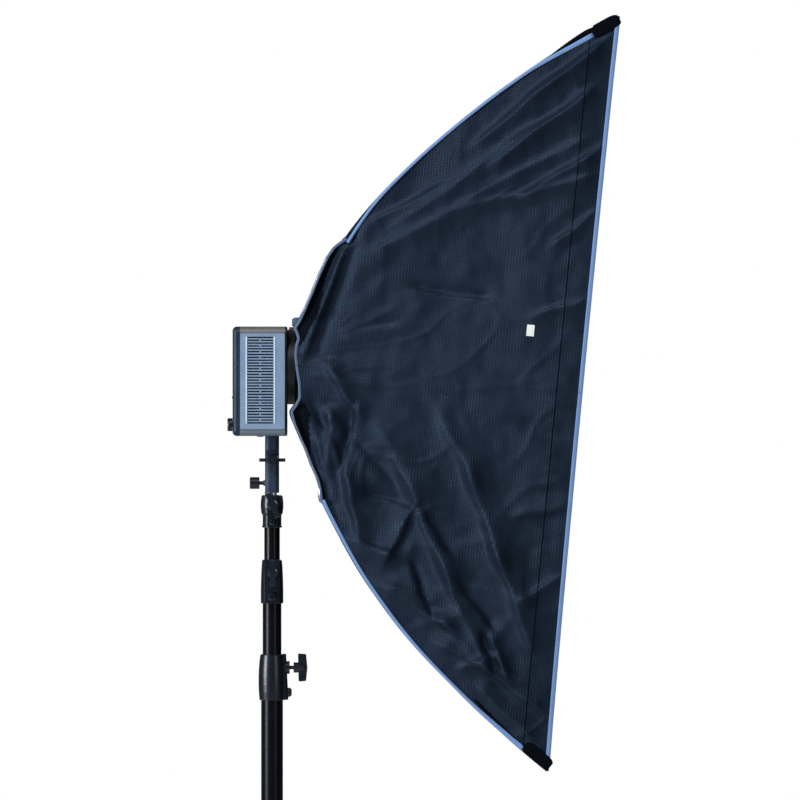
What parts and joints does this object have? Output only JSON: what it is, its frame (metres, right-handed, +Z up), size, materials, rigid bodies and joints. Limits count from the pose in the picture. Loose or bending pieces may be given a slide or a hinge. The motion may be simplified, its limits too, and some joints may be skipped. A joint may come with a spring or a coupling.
{
  "type": "studio softbox on a light stand",
  "caption": "Tall narrow strip softbox with recessed white diffuser on a box-shaped studio light head, tilt bracket and folding telescopic tripod stand.",
  "frame": {"origin": "on the floor, under the axis of the stand's column", "axes": "+Z up, +X the way the softbox faces, Y across it"},
  "size_m": [0.875, 1.0054, 2.2625],
  "materials": {
    "cloth_navy": "satin ripstop",
    "piping_blue": "woven tape",
    "diffuser_white": "translucent nylon",
    "rod_steel": "spring steel",
    "ring_alloy": "black anodised",
    "stand_black": "satin black",
    "collar_black": "moulded",
    "rubber_black": "matt",
    "bright_steel": "polished",
    "bracket_navy": "satin",
    "case_brown": "satin",
    "plate_blue": "metallic satin",
    "cover_navy": "fine texture",
    "bezel_black": "fine texture",
    "alloy": "bare",
    "lamp_ceramic": "ceramic",
    "glass_frosted": "frosted",
    "board_green": "lacquered",
    "display_dark": "gloss"
  },
  "bodies": {
    "base": {"outer_tube": "stand_black", "base_collar": "collar_black", "collar_c": "collar_black"},
    "collar_c_knob": {"collar_c_knob": "collar_black"},
    "leg_collar": {"leg_collar": "collar_black", "leg_pins": "bright_steel"},
    "leg_collar_knob": {"leg_collar_knob": "collar_black"},
    "leg_1": {"leg_tube_1": "stand_black", "leg_foot_1": "rubber_black"},
    "strut_1": {"strut_1": "stand_black"},
    "leg_2": {"leg_tube_2": "stand_black", "leg_foot_2": "rubber_black"},
    "strut_2": {"strut_2": "stand_black"},
    "leg_3": {"leg_tube_3": "stand_black", "leg_foot_3": "rubber_black"},
    "strut_3": {"strut_3": "stand_black"},
    "section_2": {"section_2_tube": "stand_black", "collar_b": "collar_black"},
    "collar_b_knob": {"collar_b_knob": "collar_black"},
    "section_3": {"section_3_tube": "stand_black", "collar_a": "collar_black"},
    "collar_a_knob": {"collar_a_knob": "collar_black"},
    "section_4": {"section_4_tube": "stand_black", "spigot": "bright_steel"},
    "receiver": {"spigot_receiver": "bracket_navy"},
    "spigot_thumbscrew": {"spigot_thumbscrew": "collar_black"},
    "head": {"tilt_tongue": "bracket_navy", "tilt_bolt": "bright_steel", "head_case": "case_brown", "side_plate_left": "plate_blue", "side_plate_right": "plate_blue", "rear_cover": "cover_navy", "front_bezel": "bezel_black", "bayonet_collar": "bezel_black", "heat_sink": "alloy", "lamp_module": "lamp_ceramic", "glass_dome": "glass_frosted", "circuit_board": "board_green", "display_window": "display_dark", "power_inlet": "collar_black", "ring_insert": "ring_alloy"},
    "tilt_handle": {"tilt_handle": "collar_black"},
    "fan": {"fan_rotor": "bezel_black"},
    "dial": {"rear_dial": "collar_black"},
    "switch": {"power_switch": "collar_black"},
    "latch": {"bayonet_latch": "bright_steel"},
    "softbox": {"rotating_ring": "ring_alloy", "hinge_pins": "rod_steel", "side_panel_left": "cloth_navy", "side_panel_right": "cloth_navy", "front_diffuser": "diffuser_white", "inner_baffle": "diffuser_white", "front_binding": "piping_blue"},
    "rod_top_left": {"rod_top_left": "rod_steel", "top_panel": "cloth_navy"},
    "rod_top_right": {"rod_top_right": "rod_steel"},
    "rod_bottom_left": {"rod_bottom_left": "rod_steel", "bottom_panel": "cloth_navy"},
    "rod_bottom_right": {"rod_bottom_right": "rod_steel"}
  },
  "joints": [
    {"name": "section_2_slide", "type": "slide", "parent": "base", "child": "section_2", "axis": [0, 0, 1], "range_m": [-0.08, 0.75]},
    {"name": "section_3_slide", "type": "slide", "parent": "section_2", "child": "section_3", "axis": [0, 0, 1], "range_m": [-0.05, 0.75]},
    {"name": "section_4_slide", "type": "slide", "parent": "section_3", "child": "section_4", "axis": [0, 0, 1], "range_m": [0, 0.75]},
    {"name": "leg_collar_slide", "type": "slide", "parent": "base", "child": "leg_collar", "axis": [0, 0, 1], "range_m": [0, 0.329]},
    {"name": "leg_1_fold", "type": "hinge", "parent": "leg_collar", "child": "leg_1", "pos_m": [0.054, 0, 0.52], "axis": [0, 1, 0], "range_deg": [0, 45]},
    {"name": "strut_1_fold", "type": "hinge", "parent": "base", "child": "strut_1", "pos_m": [0.028, 0, 0.12], "axis": [0, 1, 0], "range_deg": [-64.71, 0]},
    {"name": "leg_2_fold", "type": "hinge", "parent": "leg_collar", "child": "leg_2", "pos_m": [-0.027, 0.04677, 0.52], "axis": [-0.866, -0.5, 0], "range_deg": [0, 45]},
    {"name": "strut_2_fold", "type": "hinge", "parent": "base", "child": "strut_2", "pos_m": [-0.014, 0.02425, 0.12], "axis": [-0.866, -0.5, 0], "range_deg": [-64.71, 0]},
    {"name": "leg_3_fold", "type": "hinge", "parent": "leg_collar", "child": "leg_3", "pos_m": [-0.027, -0.04677, 0.52], "axis": [0.866, -0.5, 0], "range_deg": [0, 45]},
    {"name": "strut_3_fold", "type": "hinge", "parent": "base", "child": "strut_3", "pos_m": [-0.014, -0.02425, 0.12], "axis": [0.866, -0.5, 0], "range_deg": [-64.71, 0]},
    {"name": "collar_c_knob_turn", "type": "hinge", "parent": "base", "child": "collar_c_knob", "pos_m": [0.03, 0, 1.21819], "axis": [1, 0, 0], "range_deg": [0, 360]},
    {"name": "collar_b_knob_turn", "type": "hinge", "parent": "section_2", "child": "collar_b_knob", "pos_m": [0, -0.03, 1.3707], "axis": [0, -1, 0], "range_deg": [0, 360]},
    {"name": "collar_a_knob_turn", "type": "hinge", "parent": "section_3", "child": "collar_a_knob", "pos_m": [0, -0.03, 1.47942], "axis": [0, -1, 0], "range_deg": [0, 360]},
    {"name": "leg_collar_knob_turn", "type": "hinge", "parent": "leg_collar", "child": "leg_collar_knob", "pos_m": [0.02, 0.03464, 0.542], "axis": [0.5, 0.866, 0], "range_deg": [0, 360]},
    {"name": "bracket_pan", "type": "hinge", "parent": "section_4", "child": "receiver", "pos_m": [0, 0, 1.5], "axis": [0, 0, 1], "continuous": true},
    {"name": "spigot_thumbscrew_turn", "type": "hinge", "parent": "receiver", "child": "spigot_thumbscrew", "pos_m": [-0.02, 0, 1.514], "axis": [-1, 0, 0], "range_deg": [0, 360]},
    {"name": "head_tilt", "type": "hinge", "parent": "receiver", "child": "head", "pos_m": [0, 0, 1.551], "axis": [0, 1, 0], "range_deg": [-60, 25]},
    {"name": "tilt_handle_turn", "type": "hinge", "parent": "head", "child": "tilt_handle", "pos_m": [0, -0.025, 1.551], "axis": [0, -1, 0], "range_deg": [0, 360]},
    {"name": "fan_spin", "type": "hinge", "parent": "head", "child": "fan", "pos_m": [-0.042, 0, 1.7], "axis": [1, 0, 0], "continuous": true},
    {"name": "dial_turn", "type": "hinge", "parent": "head", "child": "dial", "pos_m": [-0.063, 0, 1.6075], "axis": [-1, 0, 0], "range_deg": [-150, 150]},
    {"name": "power_switch_rock", "type": "hinge", "parent": "head", "child": "switch", "pos_m": [-0.058, 0.027, 1.643], "axis": [0, 1, 0], "range_deg": [0, 12]},
    {"name": "latch_pull", "type": "slide", "parent": "head", "child": "latch", "axis": [0, 0, 1], "range_m": [0, 0.004], "stiffness_N_per_m": 300},
    {"name": "softbox_turn", "type": "hinge", "parent": "head", "child": "softbox", "pos_m": [0.041, 0, 1.7], "axis": [1, 0, 0], "continuous": true},
    {"name": "rod_top_left_fold", "type": "hinge", "parent": "softbox", "child": "rod_top_left", "pos_m": [0.05, -0.046, 1.772], "axis": [0, 1, 0], "range_deg": [0, 45], "deforming": ["side_panel_left", "side_panel_right", "front_diffuser", "inner_baffle", "front_binding"]},
    {"name": "rod_top_right_fold", "type": "hinge", "parent": "softbox", "child": "rod_top_right", "pos_m": [0.05, 0.046, 1.772], "axis": [0, 1, 0], "range_deg": [0, 45]},
    {"name": "rod_bottom_left_fold", "type": "hinge", "parent": "softbox", "child": "rod_bottom_left", "pos_m": [0.05, -0.046, 1.628], "axis": [0, 1, 0], "range_deg": [-45, 0]},
    {"name": "rod_bottom_right_fold", "type": "hinge", "parent": "softbox", "child": "rod_bottom_right", "pos_m": [0.05, 0.046, 1.628], "axis": [0, 1, 0], "range_deg": [-45, 0]}
  ],
  "couplings": [
    {"joint": "leg_1_fold", "follows": "leg_collar_slide", "rad_per_m": 2.3848},
    {"joint": "strut_1_fold", "follows": "leg_collar_slide", "rad_per_m": -3.4295},
    {"joint": "leg_2_fold", "follows": "leg_collar_slide", "rad_per_m": 2.3848},
    {"joint": "strut_2_fold", "follows": "leg_collar_slide", "rad_per_m": -3.4295},
    {"joint": "leg_3_fold", "follows": "leg_collar_slide", "rad_per_m": 2.3848},
    {"joint": "strut_3_fold", "follows": "leg_collar_slide", "rad_per_m": -3.4295},
    {"joint": "rod_top_right_fold", "follows": "rod_top_left_fold", "ratio": 1},
    {"joint": "rod_bottom_left_fold", "follows": "rod_top_left_fold", "ratio": -1},
    {"joint": "rod_bottom_right_fold", "follows": "rod_top_left_fold", "ratio": -1}
  ]
}
